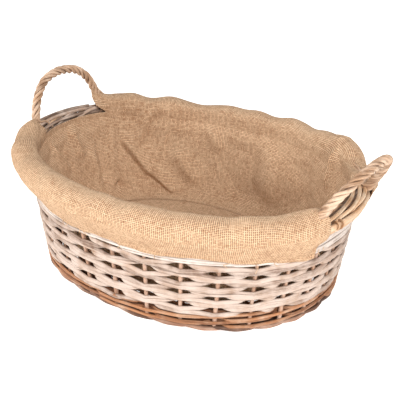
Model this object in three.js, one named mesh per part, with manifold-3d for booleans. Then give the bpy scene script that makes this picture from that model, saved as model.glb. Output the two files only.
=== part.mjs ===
// Lined oval wicker basket: woven willow body, two rope-twisted end handles and a jute liner
// folded over the rim. Millimetres, +Z up, +X along the length, origin under the middle of the
// base on the surface that the basket stands on.
import * as THREE from 'three';
import Module from 'manifold-3d';
import { mergeVertices } from 'three/addons/utils/BufferGeometryUtils.js';

const wasm = await Module();
wasm.setup();

// ---- driving dimensions ----
const ROUNDNESS = 2.2; // superellipse exponent of every plan outline
const BASE_HALF_LENGTH = 222.5; // middle of the wall at the ground
const BASE_HALF_WIDTH = 169.5;
const FLARE_LENGTH = 0.178; // growth of the half length for each millimetre of height
const FLARE_WIDTH = 0.085;
const LIP_START = 90; // above this the wall turns outwards to the border
const LIP_RISE = 70;
const LIP_FLARE = 11;
const MID_LEVEL = 60; // height at which lengths round the wall are measured
const GAP = 0.3; // between pieces that touch

const STAKES = 28;
const STAKE_RADIUS = 3;
const STAKE_CROWDING = 0.12; // how much closer the stakes stand round the ends
const STAKE_SHIFT = 0.2; // of one stake spacing
const STAKE_END_GAP = 1.8; // clears the slanted end of a leaning stake
const STAKE_PLATEAU = 5; // half length of a strand's straight run past a stake
const STAKE_BENDS = [0, 0.4, 0.7, 0.85, 1]; // closer together where the wall turns outwards

const FOOT_HEIGHT = 7.7;
const FOOT_HALF_WIDTH = 7;
const WALE_ROWS = 2;
const WALE_PITCH = 9.3;
const WALE_PERIOD = 4; // in front of three stakes, behind one
const WEAVE_ROWS = 12;
const WEAVE_PITCH = 6.6;
const WEAVE_PERIOD = 3; // in front of two stakes, behind one
const CLOSING_STAKE = 26; // here every row keeps its side once more, so the rounds meet
const STRAND_THICKNESS = 4.2;
const STRAND_SLACK = 0.2; // clears a stake where the wall curves
const TOP_WALE_HEIGHT = 26;

const BORDER_BOTTOM = 134.4;
const BORDER_TOP = 166;
const BORDER_HALF_WIDTH = 13;
const BORDER_CHAMFER = 5;
const RIM_LEVEL = 150; // height whose outline the border follows

const STICK_LEVEL = 14; // middle of the base sticks
const LONG_STICK_RADIUS = 3.2;
const LONG_STICK_PITCH = 7;
const LONG_STICKS = 2;
const BASE_MARGIN = 2; // from the wall's strands to what fills the base
const CROSS_STICKS = 4;
const CROSS_STICK_PITCH = 56;
const CROSS_STICK_WIDTH = 8;
const CROSS_STICK_HALF_HEIGHT = 3.6;
const CROSS_BULGE_HALF_HEIGHT = 7.2;
const CROSS_BULGE_HALF_LENGTH = 9;
const CROSS_BULGE_TAPER = 6;
const BASE_MAT_THICKNESS = 2.6;
const MAT_PLATEAU = 13; // half length of the mat's flat run past a stick
const MAT_TIPS = [0.68, 0.78, 0.87, 0.94, 0.985]; // bends of its outline, as shares of its length

const HANDLE_RADIUS = 6.2;
const HANDLE_FOOT_X = 241;
const HANDLE_FOOT_Z = 147;
const HANDLE_HALF_SPAN = 69;
const HANDLE_RISE = 99; // along the leaning plane
const HANDLE_LEAN = THREE.MathUtils.degToRad(26);
const HANDLE_SQUARENESS = 2.4;
const HANDLE_SHIFT_Y = 5; // both bows stand a little towards the back
const HANDLE_STEPS = 16;
const SOCKET_CLEARANCE = 0.6;

const LINER_THICKNESS = 2;
const LINER_CLEARANCE = 9; // from the wall's middle to the cloth
const LINER_BORDER_GAP = 1.2; // from the border to the cloth, and half the skirt's thickness
const LINER_BASE_Z = 23.6;
const LINER_WALL_TOP = 150;
const SKIRT_THICKNESS = 2.4;
const HEM_LEVEL = 115;
const LINER_STEPS = 48; // straight runs round the liner's outline
const SKIRT_STEPS = 20;
const SKIRT_END_GAP = 7.5; // from a handle's middle to the skirt's cut edge

// ---- materials ----
function willow(color, roughness = 0.75) {
  return new THREE.MeshStandardMaterial({ color, roughness, metalness: 0 });
}
const WHITEWASHED = willow(0xd9cdbd);
const STAKE_WOOD = willow(0xb79d87);
const BROWN_WILLOW = willow(0xa97a55);
const BUFF_WILLOW = willow(0xcaa87f);
const CHALK_WILLOW = willow(0xeee8df);
const JUTE = willow(0xc39a6b, 0.95);

// ---- plan outline ----
function wallAxes(z) {
  const lip = z > LIP_START ? LIP_FLARE * ((z - LIP_START) / LIP_RISE) ** 2 : 0;
  return [BASE_HALF_LENGTH + FLARE_LENGTH * z + lip, BASE_HALF_WIDTH + FLARE_WIDTH * z + lip];
}

function ovalPoint([a, b], t) {
  const c = Math.cos(t);
  const s = Math.sin(t);
  const power = 2 / ROUNDNESS;
  return [a * Math.sign(c) * Math.abs(c) ** power, b * Math.sign(s) * Math.abs(s) ** power];
}

function ovalNormal([a, b], t) {
  const [x, y] = ovalPoint([a, b], t);
  const nx = Math.sign(x) * Math.abs(x / a) ** (ROUNDNESS - 1) / a;
  const ny = Math.sign(y) * Math.abs(y / b) ** (ROUNDNESS - 1) / b;
  const length = Math.hypot(nx, ny);
  return [nx / length, ny / length];
}

// A point standing `offset` outside the oval with the given half axes.
function offsetPoint(axes, t, offset, z) {
  const [x, y] = ovalPoint(axes, t);
  const [nx, ny] = ovalNormal(axes, t);
  return new THREE.Vector3(x + nx * offset, y + ny * offset, z);
}

function wallPoint(t, offset, z) {
  return offsetPoint(wallAxes(z), t, offset, z);
}

const RIM_AXES = wallAxes(RIM_LEVEL);

function rimPoint(t, offset, z) {
  return offsetPoint(RIM_AXES, t, offset, z);
}

// Lengths round the wall, measured at the middle of the weave.
const ARC_STEPS = 2880;
const arcAxes = wallAxes(MID_LEVEL);
const arcLengths = [0];
for (let i = 1; i <= ARC_STEPS; i += 1) {
  const [x0, y0] = ovalPoint(arcAxes, (2 * Math.PI * (i - 1)) / ARC_STEPS);
  const [x1, y1] = ovalPoint(arcAxes, (2 * Math.PI * i) / ARC_STEPS);
  arcLengths.push(arcLengths[i - 1] + Math.hypot(x1 - x0, y1 - y0));
}
const PERIMETER = arcLengths[ARC_STEPS];

function angleAtLength(length) {
  const wanted = ((length % PERIMETER) + PERIMETER) % PERIMETER;
  let i = 1;
  while (arcLengths[i] < wanted) i += 1;
  const part = (wanted - arcLengths[i - 1]) / (arcLengths[i] - arcLengths[i - 1]);
  return (2 * Math.PI * (i - 1 + part)) / ARC_STEPS;
}

function stakeLength(k) {
  const u = (k + STAKE_SHIFT) / STAKES;
  return PERIMETER * (u - (STAKE_CROWDING * Math.sin(4 * Math.PI * u)) / (4 * Math.PI));
}

// ---- solids swept through a row of closed sections ----
function sectionSolid(sections, closedLoop) {
  const size = sections[0].length;
  const positions = [];
  for (const section of sections) {
    for (const point of section) positions.push(point.x, point.y, point.z);
  }
  const index = [];
  const count = sections.length;
  const spans = closedLoop ? count : count - 1;
  for (let i = 0; i < spans; i += 1) {
    const next = (i + 1) % count;
    for (let j = 0; j < size; j += 1) {
      const a = i * size + j;
      const b = i * size + ((j + 1) % size);
      const c = next * size + ((j + 1) % size);
      const d = next * size + j;
      index.push(a, b, c, a, c, d);
    }
  }
  if (!closedLoop) {
    addCap(index, sections[0], 0, true);
    addCap(index, sections[count - 1], (count - 1) * size, false);
  }
  const geometry = new THREE.BufferGeometry();
  geometry.setAttribute('position', new THREE.Float32BufferAttribute(positions, 3));
  geometry.setIndex(index);
  return faceOutwards(geometry);
}

// The section is flattened onto its own plane and filled.
function addCap(index, section, start, reverse) {
  const origin = section[0];
  const along = section[1].clone().sub(origin).normalize();
  const normal = new THREE.Vector3();
  for (let i = 1; i < section.length - 1; i += 1) {
    const edge = section[i].clone().sub(origin);
    normal.add(edge.cross(section[i + 1].clone().sub(origin)));
  }
  const across = normal.normalize().cross(along);
  const flat = [];
  for (const point of section) {
    const arm = point.clone().sub(origin);
    flat.push(new THREE.Vector2(arm.dot(along), arm.dot(across)));
  }
  for (const [a, b, c] of THREE.ShapeUtils.triangulateShape(flat, [])) {
    if (reverse) index.push(start + c, start + b, start + a);
    else index.push(start + a, start + b, start + c);
  }
}

function signedVolume(geometry) {
  const p = geometry.attributes.position;
  const index = geometry.index.array;
  const [a, b, c] = [new THREE.Vector3(), new THREE.Vector3(), new THREE.Vector3()];
  let volume = 0;
  for (let i = 0; i < index.length; i += 3) {
    a.fromBufferAttribute(p, index[i]);
    b.fromBufferAttribute(p, index[i + 1]);
    c.fromBufferAttribute(p, index[i + 2]);
    volume += a.dot(b.cross(c)) / 6;
  }
  return volume;
}

function faceOutwards(geometry) {
  if (signedVolume(geometry) < 0) {
    const index = geometry.index.array;
    for (let i = 0; i < index.length; i += 3) {
      [index[i], index[i + 1]] = [index[i + 1], index[i]];
    }
  }
  geometry.computeVertexNormals();
  return geometry;
}

// ---- booleans ----
function toManifold(geometry) {
  const plain = geometry.clone();
  for (const name of Object.keys(plain.attributes)) {
    if (name !== 'position') plain.deleteAttribute(name);
  }
  const merged = mergeVertices(plain, 1e-4);
  return new wasm.Manifold(new wasm.Mesh({
    numProp: 3,
    vertProperties: Float32Array.from(merged.attributes.position.array),
    triVerts: Uint32Array.from(merged.index.array),
  }));
}

function cut(geometry, tools) {
  let solid = toManifold(geometry);
  for (const tool of tools) solid = solid.subtract(toManifold(tool));
  const mesh = solid.getMesh();
  const result = new THREE.BufferGeometry();
  result.setAttribute('position', new THREE.BufferAttribute(mesh.vertProperties, 3));
  result.setIndex(new THREE.BufferAttribute(mesh.triVerts, 1));
  result.computeVertexNormals();
  return result;
}

// ---- parts ----
const basket = new THREE.Group();

function addPart(name, geometry, material) {
  const mesh = new THREE.Mesh(geometry, material);
  mesh.name = name;
  basket.add(mesh);
}

function circleShape(radius, sides) {
  const shape = new THREE.Shape();
  for (let i = 0; i < sides; i += 1) {
    const angle = (2 * Math.PI * i) / sides;
    const [x, y] = [radius * Math.cos(angle), radius * Math.sin(angle)];
    if (i === 0) shape.moveTo(x, y);
    else shape.lineTo(x, y);
  }
  shape.closePath();
  return shape;
}

function rod(points, radius, sides, steps) {
  const extrudePath = new THREE.CatmullRomCurve3(points);
  return new THREE.ExtrudeGeometry(circleShape(radius, sides), { steps, extrudePath });
}

// Stations come in pairs, one each side of a stake, so a strand runs straight past it.
function stakeStations() {
  const stations = [];
  for (let k = 0; k < STAKES; k += 1) {
    for (const side of [-1, 1]) {
      stations.push({ stake: k, t: angleAtLength(stakeLength(k) + side * STAKE_PLATEAU) });
    }
  }
  return stations;
}
const STATIONS = stakeStations();

// A closed woven ring. inFront(stake) says which side of a stake it passes.
function wovenRing(bottom, top, inFront) {
  const reach = STAKE_RADIUS + GAP + STRAND_THICKNESS / 2 + STRAND_SLACK;
  const half = STRAND_THICKNESS / 2;
  const sections = STATIONS.map(({ stake, t }) => {
    const middle = inFront(stake) ? reach : -reach;
    return [
      wallPoint(t, middle - half, bottom),
      wallPoint(t, middle + half, bottom),
      wallPoint(t, middle + half, top),
      wallPoint(t, middle - half, top),
    ];
  });
  return sectionSolid(sections, true);
}

function plainRing(profile, place) {
  const sections = STATIONS.map(({ t }) => profile.map(([offset, z]) => place(t, offset, z)));
  return sectionSolid(sections, true);
}

function buildFoot() {
  const w = FOOT_HALF_WIDTH;
  const profile = [[-w, 0], [w, 0], [w, FOOT_HEIGHT], [-w, FOOT_HEIGHT]];
  addPart('foot_rod', plainRing(profile, wallPoint), BROWN_WILLOW);
}

function buildBottomWale() {
  for (let row = 0; row < WALE_ROWS; row += 1) {
    const bottom = FOOT_HEIGHT + GAP + row * WALE_PITCH;
    const phase = row * 2;
    const inFront = (stake) => (stake + phase) % WALE_PERIOD !== 0;
    const ring = wovenRing(bottom, bottom + WALE_PITCH - GAP, inFront);
    addPart(`bottom_wale_${row + 1}`, ring, BROWN_WILLOW);
  }
}

const WEAVE_BOTTOM = FOOT_HEIGHT + GAP + WALE_ROWS * WALE_PITCH;
const TOP_WALE_BOTTOM = WEAVE_BOTTOM + WEAVE_ROWS * WEAVE_PITCH;

function buildWeave() {
  for (let row = 0; row < WEAVE_ROWS; row += 1) {
    const bottom = WEAVE_BOTTOM + row * WEAVE_PITCH;
    const inFront = (stake) => {
      const step = stake < CLOSING_STAKE ? stake : stake - 1;
      return (step + row) % WEAVE_PERIOD !== 1;
    };
    const ring = wovenRing(bottom, bottom + WEAVE_PITCH - GAP, inFront);
    addPart(`weave_row_${row + 1}`, ring, WHITEWASHED);
  }
}

function buildTopWale() {
  const inFront = (stake) => (stake + 1) % WALE_PERIOD !== 0;
  const ring = wovenRing(TOP_WALE_BOTTOM, TOP_WALE_BOTTOM + TOP_WALE_HEIGHT, inFront);
  addPart('top_wale', ring, CHALK_WILLOW);
}

function buildStakes() {
  const bottom = FOOT_HEIGHT + STAKE_END_GAP;
  const top = BORDER_BOTTOM - STAKE_END_GAP;
  for (let k = 0; k < STAKES; k += 1) {
    const t = angleAtLength(stakeLength(k));
    const points = [];
    for (const part of STAKE_BENDS) {
      const z = bottom + (top - bottom) * part;
      points.push(wallPoint(t, 0, z));
    }
    addPart(`stake_${String(k + 1).padStart(2, '0')}`, rod(points, STAKE_RADIUS, 6, 4), STAKE_WOOD);
  }
}

function handleRope(side, radius) {
  const points = [];
  for (let i = 0; i <= HANDLE_STEPS; i += 1) {
    const t = (Math.PI * i) / HANDLE_STEPS;
    const c = Math.cos(t);
    const across = Math.sign(c) * Math.abs(c) ** (2 / HANDLE_SQUARENESS);
    const up = HANDLE_RISE * Math.abs(Math.sin(t)) ** (2 / HANDLE_SQUARENESS);
    const x = side * (HANDLE_FOOT_X + up * Math.sin(HANDLE_LEAN));
    const y = HANDLE_SHIFT_Y + HANDLE_HALF_SPAN * across;
    points.push(new THREE.Vector3(x, y, HANDLE_FOOT_Z + up * Math.cos(HANDLE_LEAN)));
  }
  return rod(points, radius, 8, 26);
}

function buildHandles() {
  addPart('handle_left', handleRope(-1, HANDLE_RADIUS), BUFF_WILLOW);
  addPart('handle_right', handleRope(1, HANDLE_RADIUS), BUFF_WILLOW);
}

function buildBorder() {
  const w = BORDER_HALF_WIDTH;
  const [low, high, chamfer] = [BORDER_BOTTOM, BORDER_TOP, BORDER_CHAMFER];
  const profile = [
    [GAP, low], [w - chamfer, low], [w, low + chamfer],
    [w, high - chamfer], [w - chamfer, high], [GAP, high],
  ];
  const mirrored = profile.map(([offset, z]) => [-offset, z]);
  const sockets = [-1, 1].map((side) => handleRope(side, HANDLE_RADIUS + SOCKET_CLEARANCE));
  addPart('border_outer', cut(plainRing(profile, rimPoint), sockets), BUFF_WILLOW);
  addPart('border_inner', cut(plainRing(mirrored, rimPoint), sockets), BUFF_WILLOW);
}

// Half the chord of an oval, measured across at a distance from its middle.
function ovalReach(length, width, distance) {
  return length * (1 - Math.abs(distance / width) ** ROUNDNESS) ** (1 / ROUNDNESS);
}

// Turns an outline drawn in X and Y to stand across the basket, extruded along its length.
const OUTLINE_ACROSS = new THREE.Matrix4().makeBasis(
  new THREE.Vector3(0, 1, 0), new THREE.Vector3(0, 0, 1), new THREE.Vector3(1, 0, 0));

const STICK_SETBACK = STAKE_RADIUS + GAP + STRAND_THICKNESS + BASE_MARGIN;

function buildBaseSticks() {
  const [a, b] = wallAxes(STICK_LEVEL);
  for (let i = 0; i < LONG_STICKS; i += 1) {
    const y = (i - (LONG_STICKS - 1) / 2) * LONG_STICK_PITCH;
    const half = ovalReach(a, b, y) - STICK_SETBACK;
    const points = [-half, half].map((x) => new THREE.Vector3(x, y, STICK_LEVEL));
    addPart(`base_long_stick_${i + 1}`, rod(points, LONG_STICK_RADIUS, 8, 1), BROWN_WILLOW);
  }
  for (let i = 0; i < CROSS_STICKS; i += 1) {
    const x = (i - (CROSS_STICKS - 1) / 2) * CROSS_STICK_PITCH;
    const half = ovalReach(b, a, Math.abs(x) + CROSS_STICK_WIDTH) - STICK_SETBACK;
    const mesh = new THREE.Mesh(crossStick(half), BROWN_WILLOW);
    mesh.name = `base_cross_stick_${i + 1}`;
    mesh.setRotationFromMatrix(OUTLINE_ACROSS);
    mesh.position.set(x - CROSS_STICK_WIDTH / 2, 0, STICK_LEVEL);
    basket.add(mesh);
  }
}

// Split in the middle and sprung open round the long sticks.
function crossStick(half) {
  const low = CROSS_STICK_HALF_HEIGHT;
  const high = CROSS_BULGE_HALF_HEIGHT;
  const bulge = CROSS_BULGE_HALF_LENGTH;
  const shoulder = bulge + CROSS_BULGE_TAPER;
  const outline = [
    [-half, -low], [-shoulder, -low], [-bulge, -high], [bulge, -high], [shoulder, -low],
    [half, -low], [half, low], [shoulder, low], [bulge, high], [-bulge, high],
    [-shoulder, low], [-half, low],
  ];
  const shape = new THREE.Shape(outline.map(([u, v]) => new THREE.Vector2(u, v)));
  const slotHalf = ((LONG_STICKS - 1) / 2) * LONG_STICK_PITCH + LONG_STICK_RADIUS + GAP;
  const slotHeight = LONG_STICK_RADIUS + GAP;
  const slot = [[-slotHalf, -slotHeight], [-slotHalf, slotHeight],
    [slotHalf, slotHeight], [slotHalf, -slotHeight]];
  shape.holes.push(new THREE.Path(slot.map(([u, v]) => new THREE.Vector2(u, v))));
  return new THREE.ExtrudeGeometry(shape, { depth: CROSS_STICK_WIDTH, bevelEnabled: false });
}

// The mat's height changes from stick to stick: over one, under the next.
function matRise(stick) {
  const reach = CROSS_STICK_HALF_HEIGHT + GAP + BASE_MAT_THICKNESS / 2;
  return stick % 2 === 0 ? reach : -reach;
}

// Stations along the mat, each with its height: both sides of every stick, then out to the tip.
function matStations(length) {
  const stations = [];
  for (let i = 0; i < CROSS_STICKS; i += 1) {
    const x = (i - (CROSS_STICKS - 1) / 2) * CROSS_STICK_PITCH;
    for (const side of [-1, 1]) stations.push([x + side * MAT_PLATEAU, matRise(i)]);
  }
  const tips = MAT_TIPS.map((part) => part * length);
  const before = [...tips].reverse().map((x) => [-x, matRise(0)]);
  const after = tips.map((x) => [x, matRise(CROSS_STICKS - 1)]);
  return [...before, ...stations, ...after];
}

// Half of the woven filling, on one side of the long sticks.
function buildBaseMat(name, side) {
  const [length, width] = wallAxes(STICK_LEVEL).map((half) => half - STICK_SETBACK - BASE_MARGIN);
  const inner = CROSS_BULGE_HALF_LENGTH + CROSS_BULGE_TAPER + GAP;
  const half = BASE_MAT_THICKNESS / 2;
  const sections = matStations(length).map(([x, rise]) => {
    const [y0, y1] = [side * inner, side * ovalReach(width, length, x)];
    const z = STICK_LEVEL + rise;
    return [
      new THREE.Vector3(x, y0, z - half), new THREE.Vector3(x, y1, z - half),
      new THREE.Vector3(x, y1, z + half), new THREE.Vector3(x, y0, z + half),
    ];
  });
  addPart(name, sectionSolid(sections, false), BROWN_WILLOW);
}

function buildBaseWeave() {
  buildBaseMat('base_weave_back', 1);
  buildBaseMat('base_weave_front', -1);
}

// ---- liner ----
function buildLinerBase() {
  const points = [];
  const [a, b] = wallAxes(LINER_BASE_Z).map((half) => half - LINER_CLEARANCE);
  for (let i = 0; i < LINER_STEPS; i += 1) {
    const [x, y] = ovalPoint([a, b], (2 * Math.PI * i) / LINER_STEPS);
    points.push(new THREE.Vector2(x, y));
  }
  const options = { depth: LINER_THICKNESS, bevelEnabled: false };
  const mesh = new THREE.Mesh(new THREE.ExtrudeGeometry(new THREE.Shape(points), options), JUTE);
  mesh.name = 'liner_base';
  mesh.position.z = LINER_BASE_Z;
  basket.add(mesh);
}

const LINER_RIM_OFFSET = BORDER_HALF_WIDTH + LINER_BORDER_GAP;

function linerWallPoint(t, inset, z) {
  if (z > BORDER_BOTTOM) return rimPoint(t, -LINER_RIM_OFFSET - inset, z);
  return wallPoint(t, -LINER_CLEARANCE - inset, z);
}

function buildLinerWall() {
  const bottom = LINER_BASE_Z + LINER_THICKNESS + GAP;
  const levels = [bottom, 90, 128, BORDER_BOTTOM + 4, LINER_WALL_TOP];
  const sections = [];
  for (let i = 0; i < LINER_STEPS; i += 1) {
    const t = (2 * Math.PI * i) / LINER_STEPS;
    const outside = levels.map((z) => linerWallPoint(t, 0, z));
    const inside = [...levels].reverse().map((z) => linerWallPoint(t, LINER_THICKNESS, z));
    sections.push([...outside, ...inside]);
  }
  addPart('liner_wall', sectionSolid(sections, true), JUTE);
}

// The skirt's middle line, from its seam inside the rim, over the border, down to the hem.
const SKIRT_LINE = [
  [-LINER_RIM_OFFSET - LINER_BORDER_GAP, LINER_WALL_TOP + GAP],
  [-LINER_RIM_OFFSET - LINER_BORDER_GAP, 164],
  [-9, 173],
  [3, 177.2],
  [14, 174.6],
  [21.2, 164],
  [21.2, 152],
  [13, 132],
  [4, HEM_LEVEL],
];

function skirtOutline(t) {
  const half = SKIRT_THICKNESS / 2;
  const outer = [];
  const inner = [];
  SKIRT_LINE.forEach(([offset, z], i) => {
    const before = SKIRT_LINE[Math.max(i - 1, 0)];
    const after = SKIRT_LINE[Math.min(i + 1, SKIRT_LINE.length - 1)];
    const length = Math.hypot(after[0] - before[0], after[1] - before[1]);
    const [du, dv] = [(after[0] - before[0]) / length, (after[1] - before[1]) / length];
    outer.push(rimPoint(t, offset - dv * half, z + du * half));
    inner.push(rimPoint(t, offset + dv * half, z - du * half));
  });
  return [...outer, ...inner.reverse()];
}

function buildSkirt(name, from, to) {
  const sections = [];
  for (let i = 0; i <= SKIRT_STEPS; i += 1) {
    sections.push(skirtOutline(from + ((to - from) * i) / SKIRT_STEPS));
  }
  addPart(name, sectionSolid(sections, false), JUTE);
}

// Where an oval reaches a distance across, as an angle in the first quarter.
function angleAtY(b, distance) {
  return Math.asin((distance / b) ** (ROUNDNESS / 2));
}

function buildLiner() {
  buildLinerBase();
  buildLinerWall();
  const backEnd = HANDLE_HALF_SPAN + HANDLE_SHIFT_Y + SKIRT_END_GAP;
  const frontEnd = HANDLE_HALF_SPAN - HANDLE_SHIFT_Y + SKIRT_END_GAP;
  const backAngle = angleAtY(RIM_AXES[1], backEnd);
  const frontAngle = angleAtY(RIM_AXES[1], frontEnd);
  buildSkirt('liner_skirt_back', backAngle, Math.PI - backAngle);
  buildSkirt('liner_skirt_front', Math.PI + frontAngle, 2 * Math.PI - frontAngle);
}

buildFoot();
buildBottomWale();
buildWeave();
buildTopWale();
buildStakes();
buildBaseSticks();
buildBaseWeave();
buildBorder();
buildHandles();
buildLiner();

export default basket;
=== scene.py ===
"""Lined oval wicker basket: willow woven rod by rod, and a jute liner folded over the rim."""

import math

import bpy
import numpy as np
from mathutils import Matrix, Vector


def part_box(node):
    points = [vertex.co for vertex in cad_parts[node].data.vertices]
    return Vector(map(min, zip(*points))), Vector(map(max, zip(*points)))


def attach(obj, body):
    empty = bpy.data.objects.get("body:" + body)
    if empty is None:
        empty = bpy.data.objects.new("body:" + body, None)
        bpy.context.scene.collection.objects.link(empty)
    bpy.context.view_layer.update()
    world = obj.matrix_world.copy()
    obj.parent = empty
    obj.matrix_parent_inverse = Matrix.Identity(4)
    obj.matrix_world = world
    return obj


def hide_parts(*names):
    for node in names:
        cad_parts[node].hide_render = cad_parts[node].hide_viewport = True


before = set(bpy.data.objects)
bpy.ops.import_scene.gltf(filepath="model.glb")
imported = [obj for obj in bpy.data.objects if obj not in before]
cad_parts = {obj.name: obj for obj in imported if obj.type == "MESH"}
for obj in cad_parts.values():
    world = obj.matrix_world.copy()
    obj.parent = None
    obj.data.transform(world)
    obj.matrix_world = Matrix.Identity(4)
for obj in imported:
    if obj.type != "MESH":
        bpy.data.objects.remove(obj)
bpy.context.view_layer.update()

MM = 0.001
rng = np.random.default_rng(11)

# ---- the basket's outline, in millimetres, as in the CAD ----
ROUNDNESS = 2.2
BASE_A, BASE_B = 222.5, 169.5
FLARE_A, FLARE_B = 0.178, 0.085
LIP_START, LIP_RISE, LIP_FLARE = 90.0, 70.0, 11.0
RIM_LEVEL = 150.0
STAKES = 28
STAKE_SHIFT = 0.2
STAKE_CROWDING = 0.12
STAKE_RADIUS = 3.0


def box_mm(node):
    low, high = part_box(node)
    return np.array(low) / MM, np.array(high) / MM


def level(node):
    low, high = box_mm(node)
    return 0.5 * (low[2] + high[2])


FOOT_TOP = box_mm("foot_rod")[1][2]
BORDER_LOW = box_mm("border_outer")[0][2]
WEAVE_LEVELS = [level(f"weave_row_{i}") for i in range(1, 13)]
WALE_LOW, WALE_HIGH = box_mm("bottom_wale_1")[0][2], box_mm("bottom_wale_2")[1][2]
TOP_LOW, TOP_HIGH = box_mm("top_wale")[0][2], box_mm("top_wale")[1][2]
HANDLE_FOOT_X = 241.0
HANDLE_SQUARENESS = 2.4
STICK_LEVEL = level("base_long_stick_1")
LINER_FLOOR = level("liner_base")
HEM_LEVEL = box_mm("liner_skirt_front")[0][2]


# ---- outline ----
def wall_axes(z):
    z = np.asarray(z, float)
    lip = np.where(z > LIP_START, LIP_FLARE * ((z - LIP_START) / LIP_RISE) ** 2, 0.0)
    return BASE_A + FLARE_A * z + lip, BASE_B + FLARE_B * z + lip


def oval(a, b, t):
    c, s = np.cos(t), np.sin(t)
    p = 2 / ROUNDNESS
    return a * np.sign(c) * np.abs(c) ** p, b * np.sign(s) * np.abs(s) ** p


def oval_normal(a, b, t):
    x, y = oval(a, b, t)
    nx = np.sign(x) * np.abs(x / a) ** (ROUNDNESS - 1) / a
    ny = np.sign(y) * np.abs(y / b) ** (ROUNDNESS - 1) / b
    length = np.hypot(nx, ny)
    return nx / length, ny / length


RISE_LEFT, RISE_RIGHT = 12.0, 3.0


def end_rise(x):
    """The rim stands a little higher at the two ends, by the handles."""
    left = np.clip((-x - 110) / 150, 0, 1.15) ** 2
    right = np.clip((x - 150) / 110, 0, 1.15) ** 2
    return RISE_LEFT * left + RISE_RIGHT * right


def wall_point(t, offset, z):
    """Points standing offset outside the wall's middle. Above the rim level the outline stays."""
    t, offset, z = np.broadcast_arrays(
        np.asarray(t, float), np.asarray(offset, float), np.asarray(z, float)
    )
    a, b = wall_axes(np.minimum(z, RIM_LEVEL))
    x, y = oval(a, b, t)
    nx, ny = oval_normal(a, b, t)
    lifted = z + end_rise(x) * np.clip((z - 50) / 90, 0, 1)
    return np.stack([x + nx * offset, y + ny * offset, lifted], -1)


def outward(t, z):
    a, b = wall_axes(np.minimum(np.asarray(z, float), RIM_LEVEL))
    nx, ny = oval_normal(a, b, t)
    return np.stack([nx, ny, np.zeros_like(nx)], -1)


ARC_T = np.linspace(0, 2 * np.pi, 2881)
_x, _y = oval(*wall_axes(60.0), ARC_T)
ARC = np.concatenate([[0], np.cumsum(np.hypot(np.diff(_x), np.diff(_y)))])
PERIMETER = ARC[-1]


def angle(k):
    """The angle of a place counted in stakes round the wall."""
    u = (np.asarray(k, float) + STAKE_SHIFT) / STAKES
    u = u - STAKE_CROWDING * np.sin(4 * np.pi * u) / (4 * np.pi)
    turns = np.floor(u)
    return np.interp((u - turns) * PERIMETER, ARC, ARC_T) + 2 * np.pi * turns


K_TABLE = np.linspace(-0.5, 28.5, 5801)
T_TABLE = angle(K_TABLE)


def stake_at(t):
    """The place in stakes at an angle from 0 to a full turn."""
    return np.interp(t, T_TABLE, K_TABLE)


def stake_at_end(side_x, y, axes):
    """The place in stakes where the outline passes y at the basket's +X or -X end."""
    s = np.sign(y) * (abs(y) / axes[1]) ** (ROUNDNESS / 2)
    t = math.asin(s) if side_x > 0 else math.pi - math.asin(s)
    return float(stake_at(t % (2 * math.pi)))


# ---- smooth random curves and fields ----
def wave(k, rough, seed, period=STAKES):
    """A periodic random curve of about unit size; rough is its number of waves round the basket."""
    r = np.random.default_rng(seed)
    total = np.zeros_like(np.asarray(k, float))
    for i in range(1, rough + 1):
        total += r.normal() * np.sin(2 * np.pi * i * np.asarray(k) / period + r.uniform(0, 6.28))
    return total / math.sqrt(rough / 2)


def field(u, v, seed):
    """Smooth random field from -1 to 1 with cells of one unit."""
    size = 97
    table = np.random.default_rng(seed).uniform(-1, 1, (size, size))
    iu, iv = np.floor(u).astype(int), np.floor(v).astype(int)
    fu, fv = u - iu, v - iv
    fu, fv = fu * fu * (3 - 2 * fu), fv * fv * (3 - 2 * fv)
    a, b = table[iu % size, iv % size], table[(iu + 1) % size, iv % size]
    c, d = table[iu % size, (iv + 1) % size], table[(iu + 1) % size, (iv + 1) % size]
    return (a * (1 - fu) + b * fu) * (1 - fv) + (c * (1 - fu) + d * fu) * fv


def smooth_path(points, steps):
    """A Catmull-Rom curve through points, with steps samples between each two."""
    p = np.array(points, float)
    p = np.vstack([2 * p[0] - p[1], p, 2 * p[-1] - p[-2]])
    out = []
    for i in range(1, len(p) - 2):
        for s in np.linspace(0, 1, steps, endpoint=False):
            a, b, c, d = p[i - 1], p[i], p[i + 1], p[i + 2]
            out.append(
                0.5
                * (
                    2 * b
                    + (c - a) * s
                    + (2 * a - 5 * b + 4 * c - d) * s * s
                    + (3 * b - a - 3 * c + d) * s**3
                )
            )
    out.append(p[-2])
    return np.array(out)


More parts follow.
